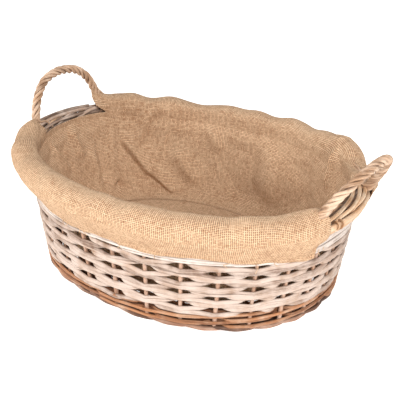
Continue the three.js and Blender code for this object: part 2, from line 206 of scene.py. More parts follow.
# ---- rods ----
class Rods:
    """A bundle of rods that becomes one mesh, with each rod's grain in its UV map and its tone."""

    def __init__(self):
        self.points, self.faces, self.uv, self.tone = [], [], [], []
        self.count = 0

    def add(self, path, radius, tone, out=None, sides=8, closed=False, flat=1.0):
        p = np.asarray(path, float)
        n = len(p)
        r = np.broadcast_to(np.asarray(radius, float), (n,))
        if closed:
            tangent = np.roll(p, -1, 0) - np.roll(p, 1, 0)
        else:
            tangent = np.gradient(p, axis=0)
        tangent /= np.linalg.norm(tangent, axis=1)[:, None]
        if out is None:
            normal = self._carried(tangent)
        else:
            normal = out - (out * tangent).sum(1)[:, None] * tangent
            normal /= np.linalg.norm(normal, axis=1)[:, None]
        across = np.cross(tangent, normal)
        turn = np.pi + 2 * np.pi * np.arange(sides) / sides
        lumps = 1 + 0.05 * field(
            np.arange(n)[:, None] * 0.33 + 31 * tone, np.arange(sides)[None] * 0.9, 5
        )
        ring = (
            p[:, None]
            + (r[:, None] * lumps)[..., None]
            * (
                np.cos(turn)[None, :, None] * normal[:, None] * flat
                + np.sin(turn)[None, :, None] * across[:, None]
            )
        ).reshape(-1, 3)
        step = np.linalg.norm(np.diff(np.vstack([p, p[:1]]) if closed else p, axis=0), axis=1)
        along = np.concatenate([[0], np.cumsum(step)]) + 1000 * tone
        around = np.linspace(0, 2 * np.pi * r.mean(), sides + 1)
        rows = n if closed else n - 1
        i, j = np.meshgrid(np.arange(rows), np.arange(sides), indexing="ij")
        i2, j2 = (i + 1) % n, (j + 1) % sides
        quads = np.stack([i * sides + j, i2 * sides + j, i2 * sides + j2, i * sides + j2], -1)
        u0, u1, v0, v1 = along[i], along[i + 1], around[j], around[j + 1]
        uv = np.stack([u0, v0, u1, v0, u1, v1, u0, v1], -1).reshape(-1, 4, 2)
        self.faces += (quads.reshape(-1, 4) + self.count).tolist()
        self.uv += (uv * MM).tolist()
        if not closed:
            self._caps(p, n, sides, along, ring)
            ring = np.vstack([ring, p[:1], p[-1:]])
        self.points.append(ring)
        self.tone.append(np.full(len(ring), tone))
        self.count += len(ring)

    def _caps(self, p, n, sides, along, ring):
        first, last = self.count + n * sides, self.count + n * sides + 1
        for j in range(sides):
            j2 = (j + 1) % sides
            a, b = self.count + j, self.count + j2
            self.faces.append([first, a, b])
            c, d = self.count + (n - 1) * sides + j2, self.count + (n - 1) * sides + j
            self.faces.append([last, c, d])
            for start in (along[0], along[-1]):
                tip = start * MM
                self.uv.append([[tip, 0.0], [tip + 0.001, 0.0], [tip + 0.001, 0.002]])

    def _carried(self, tangent):
        """Normals carried along the path without twist."""
        n = np.zeros_like(tangent)
        first = np.cross(tangent[0], [0.13, 0.2, 1.0])
        n[0] = first / np.linalg.norm(first)
        for i in range(1, len(tangent)):
            v = n[i - 1] - n[i - 1].dot(tangent[i]) * tangent[i]
            n[i] = v / np.linalg.norm(v)
        return n

    def build(self, name, material):
        points = np.vstack(self.points) * MM
        mesh = bpy.data.meshes.new(name)
        mesh.from_pydata(points.tolist(), [], self.faces)
        layer = mesh.uv_layers.new(name="grain")
        flat_uv = [c for face in self.uv for pair in face for c in pair]
        layer.data.foreach_set("uv", flat_uv)
        tone = mesh.attributes.new("tone", "FLOAT", "POINT")
        tone.data.foreach_set("value", np.concatenate(self.tone))
        return finish_mesh(name, mesh, material)


def finish_mesh(name, mesh, material):
    mesh.polygons.foreach_set("use_smooth", [True] * len(mesh.polygons))
    mesh.update()
    piece = bpy.data.objects.new(name, mesh)
    bpy.context.scene.collection.objects.link(piece)
    piece.data.materials.append(material)
    return piece


def place(piece, slot, *nodes, body="basket"):
    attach(piece, body)
    if nodes:
        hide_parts(*nodes)
    return piece


# ---- materials ----
class Graph:
    """Short names for building a material's nodes."""

    def __init__(self, name):
        self.material = bpy.data.materials.new(name)
        self.material.use_nodes = True
        self.tree = self.material.node_tree
        self.shader = self.tree.nodes["Principled BSDF"]

    def node(self, kind, **settings):
        made = self.tree.nodes.new(kind)
        for key, value in settings.items():
            setattr(made, key, value)
        return made

    def set(self, socket, value):
        if isinstance(value, bpy.types.NodeSocket):
            self.tree.links.new(value, socket)
        else:
            socket.default_value = value

    def math(self, operation, *values, clamp=False):
        made = self.node("ShaderNodeMath", operation=operation, use_clamp=clamp)
        for socket, value in zip(made.inputs, values):
            self.set(socket, value)
        return made.outputs[0]

    def mix(self, factor, a, b, blend="MIX"):
        made = self.node("ShaderNodeMix", data_type="RGBA", blend_type=blend)
        self.set(made.inputs[0], factor)
        self.set(made.inputs[6], a)
        self.set(made.inputs[7], b)
        return made.outputs[2]

    def scaled(self, vector, scale):
        made = self.node("ShaderNodeVectorMath", operation="MULTIPLY")
        self.set(made.inputs[0], vector)
        made.inputs[1].default_value = scale
        return made.outputs[0]

    def noise(self, vector, scale, detail=2.0, rough=0.5):
        made = self.node("ShaderNodeTexNoise")
        self.set(made.inputs["Vector"], vector)
        made.inputs["Scale"].default_value = scale
        made.inputs["Detail"].default_value = detail
        made.inputs["Roughness"].default_value = rough
        return made.outputs["Fac"]

    def range(self, value, low, high, to_low=0.0, to_high=1.0):
        made = self.node("ShaderNodeMapRange", interpolation_type="SMOOTHSTEP")
        self.set(made.inputs["Value"], value)
        made.inputs["From Min"].default_value = low
        made.inputs["From Max"].default_value = high
        made.inputs["To Min"].default_value = to_low
        made.inputs["To Max"].default_value = to_high
        return made.outputs[0]

    def bump(self, height, strength, distance):
        made = self.node("ShaderNodeBump")
        made.inputs["Strength"].default_value = strength
        made.inputs["Distance"].default_value = distance
        self.set(made.inputs["Height"], height)
        self.set(self.shader.inputs["Normal"], made.outputs[0])


def rgb(r, g, b):
    """A display colour, 0 to 255, as the linear colour a shader takes."""
    linear = []
    for c in (r, g, b):
        c /= 255
        linear.append(c / 12.92 if c <= 0.04045 else ((c + 0.055) / 1.055) ** 2.4)
    return (*linear, 1.0)


def willow(name, dark, light, wash, wash_low, wash_high, roughness=0.62):
    """Peeled willow with lengthwise grain; wash is the colour rubbed over it in streaks."""
    g = Graph(name)
    uv = g.node("ShaderNodeUVMap", uv_map="grain").outputs[0]
    tone = g.node("ShaderNodeAttribute", attribute_name="tone").outputs["Fac"]
    place_on = g.node("ShaderNodeTexCoord").outputs["Object"]
    fine = g.noise(g.scaled(uv, (45.0, 1500.0, 1.0)), 1.0, 3.0, 0.6)
    broad = g.noise(g.scaled(uv, (16.0, 400.0, 1.0)), 1.0, 2.0)
    blotch = g.noise(place_on, 42.0, 3.0, 0.6)
    spots = g.range(g.noise(g.scaled(uv, (210.0, 420.0, 1.0)), 1.0, 2.0), 0.68, 0.76)
    shade = g.math("ADD", g.math("MULTIPLY", tone, 0.6), g.math("MULTIPLY", broad, 1.1))
    wood = g.mix(g.range(shade, 0.35, 1.2), dark, light)
    wood = g.mix(g.range(fine, 0.35, 0.72, 0.0, 0.55), wood, dark)
    cover = g.math("ADD", g.math("MULTIPLY", blotch, 0.8), g.math("MULTIPLY", fine, 0.35))
    cover = g.math("ADD", cover, g.math("MULTIPLY", broad, 0.3))
    cover = g.math("ADD", cover, g.math("MULTIPLY", tone, 0.12))
    worn = g.range(cover, wash_low, wash_high)
    colour = g.mix(worn, wood, wash)
    colour = g.mix(g.math("MULTIPLY", spots, 0.35), colour, dark)
    g.set(g.shader.inputs["Base Color"], colour)
    g.set(g.shader.inputs["Roughness"], g.range(fine, 0.2, 0.8, roughness - 0.12, roughness + 0.16))
    g.shader.inputs["Specular IOR Level"].default_value = 0.35
    relief = g.math("ADD", g.math("MULTIPLY", fine, 0.7), g.math("MULTIPLY", broad, 0.8))
    relief = g.math("ADD", relief, g.math("MULTIPLY", worn, 0.25))
    g.bump(relief, 0.55, 0.0007)
    return g.material


THREADS = 0.00205  # distance between the burlap's threads, in metres


def burlap(name, thread_dark, thread_light, gap_shade):
    """Plain open weave of uneven jute threads, laid out on the cloth's own UV map in metres, with
    painted shade in the gaps and on the threads' flanks.
    """
    g = Graph(name)
    uv = g.node("ShaderNodeUVMap", uv_map="cloth").outputs[0]
    split = g.node("ShaderNodeSeparateXYZ")
    g.set(split.inputs[0], uv)
    drift_u = g.noise(g.scaled(uv, (30.0, 12.0, 1.0)), 1.0, 2.0)
    drift_v = g.noise(g.scaled(uv, (12.0, 30.0, 5.0)), 1.7, 2.0)
    axes = []
    for coordinate, drift in ((split.outputs[0], drift_u), (split.outputs[1], drift_v)):
        moved = g.math("ADD", coordinate, g.math("MULTIPLY", drift, 0.002))
        cell = g.math("DIVIDE", moved, THREADS)
        index = g.math("FLOOR", cell)
        across = g.math("SUBTRACT", g.math("SUBTRACT", cell, index), 0.5)
        axes.append((cell, index, g.math("COSINE", g.math("MULTIPLY", across, math.pi))))
    (cell_u, index_u, hill_u), (cell_v, index_v, hill_v) = axes
    heights, tones = [], []
    for number, hill, along, other, sign in (
        (index_u, hill_u, cell_v, index_u, 0.42),
        (index_v, hill_v, cell_u, index_v, -0.42),
    ):
        join = g.node("ShaderNodeCombineXYZ")
        g.set(join.inputs[0], g.math("MULTIPLY", number, 3.71 if sign > 0 else 5.13))
        g.set(join.inputs[1], g.math("MULTIPLY", along, 0.16))
        join.inputs[2].default_value = 7.0 if sign > 0 else 23.0
        slub = g.noise(join.outputs[0], 1.0, 2.0)
        width = g.range(slub, 0.25, 0.75, 0.86, 1.1)
        flip = g.math("COSINE", g.math("MULTIPLY", other, math.pi))
        over = g.math("COSINE", g.math("MULTIPLY", g.math("SUBTRACT", along, 0.5), math.pi))
        rise = g.math("MULTIPLY", g.math("MULTIPLY", over, flip), sign)
        heights.append(g.math("ADD", g.math("MULTIPLY", hill, width), rise))
        tones.append(slub)
    on_top = g.math("GREATER_THAN", heights[0], heights[1])
    height = g.math("MAXIMUM", heights[0], heights[1])
    tone_mix = g.node("ShaderNodeMix", data_type="FLOAT")
    g.set(tone_mix.inputs[0], on_top)
    g.set(tone_mix.inputs[2], tones[1])
    g.set(tone_mix.inputs[3], tones[0])
    fibre = g.noise(g.scaled(uv, (2600.0, 2600.0, 1.0)), 1.0, 2.0)
    broad = g.noise(g.scaled(uv, (9.0, 9.0, 1.0)), 1.0, 2.0)
    level_of = g.math("MULTIPLY", tone_mix.outputs[0], 0.6)
    level_of = g.math("ADD", level_of, g.math("MULTIPLY", fibre, 0.4))
    level_of = g.math("ADD", level_of, g.math("MULTIPLY", broad, 0.3))
    # painted shade: each thread's crown is made lighter than its flanks by its height
    level_of = g.math("ADD", level_of, g.math("MULTIPLY", height, 0.25))
    crossing = g.node("ShaderNodeCombineXYZ")
    g.set(crossing.inputs[0], index_u)
    g.set(crossing.inputs[1], index_v)
    speck = g.node("ShaderNodeTexWhiteNoise", noise_dimensions="2D")
    g.set(speck.inputs["Vector"], crossing.outputs[0])
    level_of = g.math("ADD", level_of, g.math("MULTIPLY", speck.outputs["Value"], 0.22))
    thread = g.mix(g.range(level_of, 0.55, 1.3), thread_dark, thread_light)
    # painted shade: the low ground between threads takes the dark gap colour, standing in for the
    # shade seen through the open weave
    solid = g.range(height, 0.5, 1.0)
    g.set(g.shader.inputs["Base Color"], g.mix(solid, gap_shade, thread))
    g.shader.inputs["Roughness"].default_value = 0.94
    g.shader.inputs["Specular IOR Level"].default_value = 0.12
    g.shader.inputs["Sheen Weight"].default_value = 0.25
    g.shader.inputs["Sheen Roughness"].default_value = 0.6
    g.shader.inputs["Sheen Tint"].default_value = rgb(255, 232, 200)
    g.bump(g.math("ADD", height, g.math("MULTIPLY", fibre, 0.3)), 0.75, 0.0011)
    return g.material


WHITEWASHED = willow(
    "whitewashed_willow", rgb(96, 66, 48), rgb(178, 144, 118), rgb(198, 180, 168), 0.5, 0.96
)
STAKE_WOOD = willow(
    "stake_willow", rgb(124, 86, 64), rgb(196, 156, 130), rgb(206, 182, 166), 0.68, 1.15
)
CHALK = willow(
    "chalk_willow", rgb(140, 116, 98), rgb(200, 180, 166), rgb(214, 202, 193), 0.42, 0.86
)
BROWN = willow(
    "brown_willow", rgb(88, 50, 30), rgb(186, 130, 90), rgb(200, 172, 148), 0.74, 1.16
)
FOOT_WOOD = willow(
    "foot_willow", rgb(70, 46, 34), rgb(160, 118, 94), rgb(180, 152, 134), 0.68, 1.12
)
BUFF = willow("buff_willow", rgb(120, 78, 48), rgb(216, 172, 130), rgb(236, 214, 188), 0.66, 1.12)
HANDLE_WOOD = willow(
    "handle_willow", rgb(70, 42, 28), rgb(198, 158, 124), rgb(230, 204, 180), 0.66, 1.12
)
GREY_BROWN = willow(
    "weathered_willow", rgb(84, 62, 50), rgb(192, 158, 132), rgb(216, 198, 184), 0.62, 1.1
)
FIBRE = willow(
    "jute_fibre", rgb(150, 108, 72), rgb(232, 198, 160), rgb(236, 208, 176), 0.7, 1.1, 0.85
)
JUTE = burlap("jute", rgb(160, 108, 68), rgb(236, 200, 164), rgb(96, 56, 32))


# ---- the wall's weave ----
SEGMENTS = 9  # samples of a rod from stake to stake
K = np.arange(0, STAKES, 1 / SEGMENTS)
T = angle(K)
SKIP_STAKE = 26  # here every row passes the same side of two stakes running


SAG = np.random.default_rng(5).uniform(0.55, 1.25, STAKES)
SAG[21:24] = 1.3, 1.7, 1.3


def sway(k, z):
    """The rows aren't level: the bottom wale rises and falls, and the rows above follow it."""
    size = np.interp(z, [0, 8, 27, 106, 120], [0, 1.2, 4.2, 1.2, 0])
    return size * np.sin(2 * np.pi * (k - 23.3) / 14)


def passing(in_front, k, reach=0.5):
    """1 where a rod lies in front of the stakes and -1 where it slips behind one."""
    total = np.ones_like(k)
    for stake, front in enumerate(in_front):
        if not front:
            away = np.abs((k - stake + STAKES / 2) % STAKES - STAKES / 2) / reach
            total -= np.where(away < 1, 1 + np.cos(np.pi * np.clip(away, 0, 1)), 0)
    return np.maximum(total, -1)


def woven(rods, z, radius, in_front, seed, reach, dips=None, lean=0.0, flat=1.0, tones=None):
    """One closed woven row. in_front is a list of stakes' sides; dips is how far it sags there."""
    side = np.array([1.0 if front else -1.0 for front in in_front])
    run = passing(in_front, K)
    offset = run * reach
    nearest = np.abs(K - np.round(K))
    at_stake = np.clip(1 - nearest / 0.5, 0, 1) ** 1.15
    front = 0.5 + 0.5 * run
    height = z + sway(K, z) + wave(K, 9, seed) * 0.4
    if dips is not None:
        height = height - (dips * SAG)[np.round(K).astype(int) % STAKES] * at_stake
    if lean:
        height = height + lean * slant(side)
    thick = radius * (1 + 0.06 * wave(K, 14, seed + 1))
    thick = thick * (1 - 0.1 * (1 - front))
    path = wall_point(T, offset + 0.3 * wave(K, 12, seed + 2), height)
    tone = float(np.random.default_rng(seed + 3).uniform()) if tones is None else tones
    rods.add(path, thick, tone, out=outward(T, height), closed=True, flat=flat)


def slant(side):
    """Runs from -1 to 1 while a rod is in front, so that it crosses its neighbours at a slant."""
    start = np.where(side < 0)[0]
    run = np.zeros_like(K)
    for i, first in enumerate(start):
        last = start[(i + 1) % len(start)]
        span = (last - first) % STAKES or STAKES
        part = ((K - first) % STAKES) / span
        inside = part < 1
        run[inside] = -np.cos(np.pi * part[inside])
    return run


def weave_pattern(row):
    """Where in its round of three each stake is: 1 is behind, 0 sags most, 2 bridges the gap."""
    stake = np.arange(STAKES)
    step = np.where(stake < SKIP_STAKE, stake, stake - 1)
    return (step + row) % 3


def make_weave():
    for row, z in enumerate(WEAVE_LEVELS):
        rods = Rods()
        pattern = weave_pattern(row)
        states = pattern != 1
        dips = np.array([3.1, -0.8, 0.9])[pattern]
        if row in (2, 5, 9):
            for part in (-1.6, 1.7):
                seed = 100 + 7 * row + int(part > 0)
                woven(rods, z + part, 1.95, states, seed, 5.2, dips=dips)
        else:
            woven(rods, z, 3.45, states, 100 + 7 * row, 5.3, dips=dips, flat=0.78)
        piece = rods.build(f"willow_row_{row + 1:02d}", WHITEWASHED)
        place(piece, "whitewashed_willow", f"weave_row_{row + 1}")


BACKING = -9.0  # the rods that close the wale and the foot from inside, from the wall's middle


def make_bottom_wale():
    rows = np.linspace(WALE_LOW + 2.2, WALE_HIGH - 1.6, 4)
    for number in (1, 2):
        rods = Rods()
        for row in (0, 1):
            index = 2 * (number - 1) + row
            states = [(stake + 2 * index) % 4 != 0 for stake in range(STAKES)]
            dips = np.full(STAKES, 0.8)
            woven(
                rods, rows[index], 2.15, states, 300 + 9 * index, 5.2, dips=dips, lean=2.3,
                tones=(0.75, 0.35, 0.95, 0.6)[index],
            )
            inner = wall_point(T, -5.2, rows[index] + 2.6 + sway(K, rows[index]))
            rods.add(inner, 3.3, 0.05, out=outward(T, rows[index]), closed=True)
            backing = wall_point(T, BACKING, rows[index] + 0.2)
            rods.add(backing, 2.9, 0.05, out=outward(T, rows[index]), closed=True)
        piece = rods.build(f"brown_wale_{number}", BROWN)
        place(piece, "brown_willow", f"bottom_wale_{number}")


def make_top_wale():
    rods = Rods()
    rows = np.linspace(TOP_LOW + 1.8, TOP_HIGH - 1.6, 8)
    for index, z in enumerate(rows):
        states = [(stake + index) % 4 != 1 for stake in range(STAKES)]
        woven(rods, z, 1.95, states, 400 + 9 * index, 4.9, lean=1.9)
    place(rods.build("chalk_wale", CHALK), "chalk_willow", "top_wale")


def make_foot():
    rods = Rods()
    ring = wall_point(T, -3.2 + 0.4 * wave(K, 8, 61), 3.9)
    rods.add(ring, 3.5, 0.4, out=outward(T, 3.9), closed=True)
    backing = wall_point(T, BACKING - 0.4, 4.9)
    rods.add(backing, 3.2, 0.1, out=outward(T, 4.9), closed=True)
    for stake in range(STAKES):
        k = stake + 0.5 + np.linspace(-0.75, 0.85, 19)
        s = np.linspace(0, 1, 19)
        t = angle(k)
        offset = np.interp(s, [0, 0.2, 0.55, 0.85, 1], [-2, 3.6, 5.0, 2.6, -1.5])
        offset = offset + 0.5 * rng.normal()
        z = np.interp(s, [0, 0.25, 0.6, 1], [7.6, 6.2, 3.7, 3.0]) + 0.4 * rng.normal()
        radius = np.interp(s, [0, 0.2, 0.5, 0.8, 1], [1.5, 2.7, 3.2, 2.7, 1.5])
        radius = radius * rng.uniform(0.88, 1.06)
        path = wall_point(t, offset, z)
        path[:, 2] = np.maximum(path[:, 2], radius * 1.06)
        rods.add(path, radius, float(rng.uniform()), out=outward(t, z))
    place(rods.build("foot_border", FOOT_WOOD), "brown_willow", "foot_rod")


def make_stakes():
    for stake in range(STAKES):
        rods = Rods()
        t = angle(float(stake))
        z = np.linspace(FOOT_TOP - 2.5, BORDER_LOW + 3, 22)
        lean = rng.normal() * 0.012
        bend = 0.9 + 0.4 * np.sin(z / 17 + stake)
        path = wall_point(t + lean * (z - 70) / 70 * 0.4, bend, z)
        radius = STAKE_RADIUS * (1 + 0.06 * np.sin(z / 23 + 2.1 * stake)) * rng.uniform(0.93, 1.08)
        tone = float(rng.uniform(0.35, 1.0))
        rods.add(path, radius, tone, out=np.repeat(outward(t, 60.0)[None], len(z), 0))
        piece = rods.build(f"upright_{stake + 1:02d}", STAKE_WOOD)
        place(piece, "stake_willow", f"stake_{stake + 1:02d}")


# ---- base ----
def make_base():
    for i in (1, 2):
        low, high = box_mm(f"base_long_stick_{i}")
        y = 0.5 * (low[1] + high[1])
        x = np.linspace(low[0], high[0], 40)
        path = np.stack([x, y + 0.4 * np.sin(x / 31 + i), np.full_like(x, STICK_LEVEL)], -1)
        rods = Rods()
        rods.add(path, 3.15 + 0.15 * np.sin(x / 47), 0.5 * i)
        place(rods.build(f"long_stick_{i}", BROWN), "brown_willow", f"base_long_stick_{i}")
    cross = []
    for i in range(1, 5):
        low, high = box_mm(f"base_cross_stick_{i}")
        x = 0.5 * (low[0] + high[0])
        cross.append(x)
        y = np.linspace(low[1], high[1], 60)
        open_by = np.interp(np.abs(y), [0, 8, 17], [5.3, 5.3, 1.6])
        rods = Rods()
        for side in (-1, 1):
            path = np.stack([np.full_like(y, x), y, STICK_LEVEL + side * open_by], -1)
            up = np.repeat([[0.0, 0.0, float(side)]], len(y), 0)
            rods.add(path, 3.7, 0.3 * i, out=up, flat=0.48)
        place(rods.build(f"cross_stick_{i}", BROWN), "brown_willow", f"base_cross_stick_{i}")
    return cross


def make_base_weave(cross):
    """Rods woven round and round, over one base stick and under the next."""
    outer_a, outer_b = (float(v) - 12.5 for v in wall_axes(STICK_LEVEL))
    stretch = outer_a - outer_b
    rods = Rods()
    rings = 27
    for ring in range(rings):
        b = 19 + (outer_b - 19) * ring / (rings - 1)
        a = b + stretch
        t = np.linspace(0, 2 * np.pi, 216, endpoint=False)
        x, y = oval(a, b, t)
        crossings = [0.0, math.pi]
        for stick in cross:
            if abs(stick) < a - 6:
                c = math.acos(math.copysign(abs(stick / a) ** (ROUNDNESS / 2), stick))
                crossings += [c, 2 * math.pi - c]
        crossings = np.array(sorted(crossings))
        sign = np.array([1.0 if (i + ring) % 2 else -1.0 for i in range(len(crossings))])
        where = np.concatenate([crossings, [2 * math.pi]])
        value = np.concatenate([sign, sign[:1]])
        i = np.clip(np.searchsorted(where, t, side="right") - 1, 0, len(crossings) - 1)
        part = (t - where[i]) / (where[i + 1] - where[i])
        part = 0.5 - 0.5 * np.cos(np.pi * np.clip((part - 0.1) / 0.8, 0, 1))
        lift = value[i] * (1 - part) + value[i + 1] * part
        z = STICK_LEVEL + 5.9 * lift
        path = np.stack([x, y, z], -1)
        up = np.repeat([[0.0, 0.0, 1.0]], len(t), 0)
        rods.add(path, 2.45, float(rng.uniform()), out=up, sides=6, closed=True, flat=0.85)
    piece = rods.build("base_filling", BROWN)
    place(piece, "brown_willow", "base_weave_back", "base_weave_front")


# ---- border ----
def ring_rod(rods, offset, z, radius, tone):
    seed = int(10 * z)
    path = wall_point(T, offset + 0.35 * wave(K, 9, seed), z + 0.5 * wave(K, 8, seed + 1))
    thick = radius * (1 + 0.05 * wave(K, 12, seed + 2))
    rods.add(path, thick, tone, out=outward(T, z), sides=10, closed=True)


TURNED = [
    (0.0, 0.0, 130), (0.03, 0.3, 137), (0.12, 1.5, 146), (0.35, 4.5, 153.5), (0.75, 7.4, 158.5),
    (1.25, 5.6, 162.2), (1.8, 1.2, 163.4), (2.35, -3.6, 163.0), (2.85, -8.0, 160.2),
    (3.25, -10.4, 154.5), (3.6, -10.2, 147),
]


def make_border():
    rods = Rods()
    ring_rod(rods, 8.6, 139.6, 3.5, 0.8)
    ring_rod(rods, 9.6, 147.0, 3.9, 0.95)
    wrap_rod(rods, 27.1)
    place(rods.build("border_outer_rods", BUFF), "buff_willow", "border_outer")
    rods = Rods()
    ring_rod(rods, -8.4, 138.5, 3.6, 0.3)
    ring_rod(rods, -9.2, 145.6, 3.4, 0.6)
    ring_rod(rods, -8.6, 152.6, 3.2, 0.15)
    ring_rod(rods, -2.0, 148.0, 4.5, 0.05)
    ring_rod(rods, -3.0, 157.0, 3.6, 0.1)
    place(rods.build("border_inner_rods", GREY_BROWN), "buff_willow", "border_inner")
    bright, dark = Rods(), Rods()
    for stake in range(STAKES):
        curve = smooth_path(TURNED, 4)
        t = angle(stake + 0.06 * rng.normal() + curve[:, 0] * rng.uniform(0.92, 1.06))
        offset = curve[:, 1] + 0.6 * rng.normal()
        z = curve[:, 2] + 0.8 * rng.normal() * np.linspace(0, 1, len(curve))
        radius = np.linspace(3.2, 2.5, len(curve)) * rng.uniform(0.9, 1.12)
        at_left = 9 < stake < 18
        rods = dark if at_left and stake % 3 else bright
        rods.add(wall_point(t, offset, z), radius, float(rng.uniform(0.0, 1.0)))
    near, far = 17.25, 12.9
    pile = ((7.0, 170.5, 0.5), (1.2, 173.0, 0.1), (-5.5, 171.5, 0.8), (-10.5, 165.5, 0.3))
    for offset, z, tone in pile:
        k = np.linspace(near, far + 0.25 * rng.normal(), 30)
        s = np.linspace(0, 1, 30)
        drift = offset + 2.5 * (s - 0.3) + 0.6 * np.sin(5 * s + offset)
        dark.add(wall_point(angle(k), drift, z - 6.5 * s**1.3), 2.9 - 0.6 * s, tone)
    place(bright.build("border_turned_stakes", BUFF), "buff_willow")
    place(dark.build("border_grey_stakes", GREY_BROWN), "buff_willow")


def wrap_rod(rods, k):
    """A thin rod bound round the outer border rod."""
    turn = np.linspace(-0.4, 2 * np.pi * 1.5, 60)
    along = angle(k + 0.17 * turn / (2 * np.pi))
    rods.add(
        wall_point(along, 9.6 + 6.0 * np.cos(turn), 147.0 + 6.0 * np.sin(turn)), 1.6, 0.4, sides=7
    )


# ---- handles ----
STRANDS = 4
TWIST_PITCH = 44.0


SHAPES = {
    -1: {"half": 71.0, "shift": 4.0, "lean": math.radians(12), "rise": 93.0, "foot": 156.0},
    1: {"half": 69.0, "shift": 3.0, "lean": math.radians(33.5), "rise": 103.0, "foot": 148.0},
}


def bow(side, n=170):
    """The middle line of a handle from its front foot over to its back foot."""
    t = np.linspace(math.pi, 0, n)
    shape = SHAPES[side]
    lean = shape["lean"]
    across = np.sign(np.cos(t)) * np.abs(np.cos(t)) ** (2 / HANDLE_SQUARENESS)
    up = shape["rise"] * np.abs(np.sin(t)) ** (2 / HANDLE_SQUARENESS)
    x = side * (HANDLE_FOOT_X + up * math.sin(lean))
    y = shape["shift"] + shape["half"] * across
    line = np.stack([x, y, shape["foot"] + up * math.cos(lean)], -1)
    length = np.concatenate([[0], np.cumsum(np.linalg.norm(np.diff(line, axis=0), axis=1))])
    even = np.linspace(0, length[-1], n)
    return np.stack([np.interp(even, length, line[:, i]) for i in range(3)], -1), even


def tail(side, end, rod):
    """Where a rod of the handle runs on along the border, from its foot outwards."""
    y = SHAPES[side]["shift"] + end * SHAPES[side]["half"]
    k = stake_at_end(side, y, wall_axes(RIM_LEVEL))
    if side > 0 and k < 14 and end < 0:
        k += STAKES
    away = 1.0 if (side > 0) == (end > 0) else -1.0
    plan = [
        (1.1, -9.5, 160.0, -6.0, 166.5),
        (1.7, -6.0, 164.0, -2.5, 168.5),
        (1.4, -1.0, 165.5, 1.5, 168.5),
        (-0.35, -10.5, 150.0, -9.5, 160.0),
        (0.7, 7.5, 160.0, 6.5, 166.0),
        (0.25, 3.0, 150.0, 4.0, 160.0),
        (2.0, -3.5, 166.5, -0.5, 169.5),
        (0.8, 3.5, 165.0, 4.5, 168.0),
    ][rod]
    reach, offset, z, mid_offset, mid_z = plan
    points = []
    for part, o, height in ((0.3, mid_offset, mid_z), (0.65, 0.5 * (offset + mid_offset),
                            0.5 * (z + mid_z) + 0.8), (1.0, offset, z)):
        points.append(wall_point(angle(k + away * reach * part), o, height))
    return points


def make_handle(side, name, node):
    lean = SHAPES[side]["lean"]
    line, along = bow(side)
    tangent = np.gradient(line, axis=0)
    tangent /= np.linalg.norm(tangent, axis=1)[:, None]
    plane = np.array([-side * math.cos(lean), 0, math.sin(lean)])
    normal = np.repeat(plane[None], len(line), 0)
    normal -= (normal * tangent).sum(1)[:, None] * tangent
    normal /= np.linalg.norm(normal, axis=1)[:, None]
    across = np.cross(tangent, normal)
    keep = (along > 20) & (along < along[-1] - 20)
    rods = Rods()
    for rod in range(2 * STRANDS):
        strand, second = divmod(rod, 2)
        phase = (strand + 0.5 * second) / STRANDS + 0.015 * rng.normal()
        turn = 2 * np.pi * (along / TWIST_PITCH + phase)
        spread = 4.5 + 0.35 * np.sin(along / 19 + 2.3 * strand)
        helix = line + spread[:, None] * (
            np.cos(turn)[:, None] * normal + np.sin(turn)[:, None] * across
        )
        tone = float(rng.uniform(0.2, 1.0))
        size = rng.uniform(0.93, 1.1)
        near, far = tail(side, -1, rod)[::-1], tail(side, 1, rod)
        body = helix[keep]
        first = smooth_path([*near, body[0], body[4]], 8)[:-9]
        last = smooth_path([body[-5], body[-1], *far], 8)[9:]
        if not second:
            path = relaxed(np.vstack([first, body, last]), 2)
            radius = 2.4 + 0.16 * np.sin(np.arange(len(path)) / 11 + 1.7 * rod)
            radius[:30] = np.linspace(1.7, radius[30], 30)
            radius[-30:] = np.linspace(radius[-30], 1.7, 30)
            rods.add(path, radius * size, tone, sides=10)
            continue
        short = 5 + int(rng.integers(4, 22))
        for path in (np.vstack([first, body[:short]]), np.vstack([body[-short:], last])[::-1]):
            radius = np.interp(np.linspace(0, 1, len(path)), [0, 0.3, 0.8, 1], [1.3, 1.8, 1.7, 0.5])
            rods.add(relaxed(path, 2), radius * size, tone)
    core = line[(along > 12) & (along < along[-1] - 12)]
    rods.add(core, 2.9, 0.0)
    if side < 0:
        start = int(0.16 * len(line))
        inner = stake_at_end(-1, -38.0, wall_axes(RIM_LEVEL))
        loose = [line[start] + 4 * normal[start], line[start - 8] + 6 * normal[start - 8]]
        loose += [wall_point(angle(inner + 0.25), -7.0, 170.0), wall_point(angle(inner), -11.0, 158.0)]
        rods.add(smooth_path(loose, 8), 1.9, 0.95)
    place(rods.build(name, HANDLE_WOOD), "buff_willow", node)


def relaxed(path, times):
    path = path.copy()
    for _ in range(times):
        path[1:-1] = 0.25 * path[:-2] + 0.5 * path[1:-1] + 0.25 * path[2:]
    return path


# ---- liner ----
CLOTH = 1.4  # thickness
STAKE_STEP = PERIMETER / STAKES


def smooth(x):
    x = np.clip(x, 0, 1)
    return x * x * (3 - 2 * x)


FOLD_DEPTH = 1.9  # makes every fold of the list below this much deeper


def crease(k, z, start, end, depth, width, sharp=1.0):
    """A fold line across the wall; positive depth stands into the basket."""
    ax, az = start[0] * STAKE_STEP, start[1]
    bx, bz = end[0] * STAKE_STEP, end[1]
    length = math.hypot(bx - ax, bz - az)
    ux, uz = (bx - ax) / length, (bz - az) / length
    px = ((k - start[0] + STAKES / 2) % STAKES - STAKES / 2) * STAKE_STEP
    pz = z - az
    s = px * ux + pz * uz
    d = -px * uz + pz * ux
    ends = np.clip(s / (0.3 * length), 0, 1) * np.clip((length - s) / (0.3 * length), 0, 1)
    profile = np.exp(-np.abs(d / width) ** sharp)
    return FOLD_DEPTH * depth * profile * ends * (3 - 2 * ends) * ends


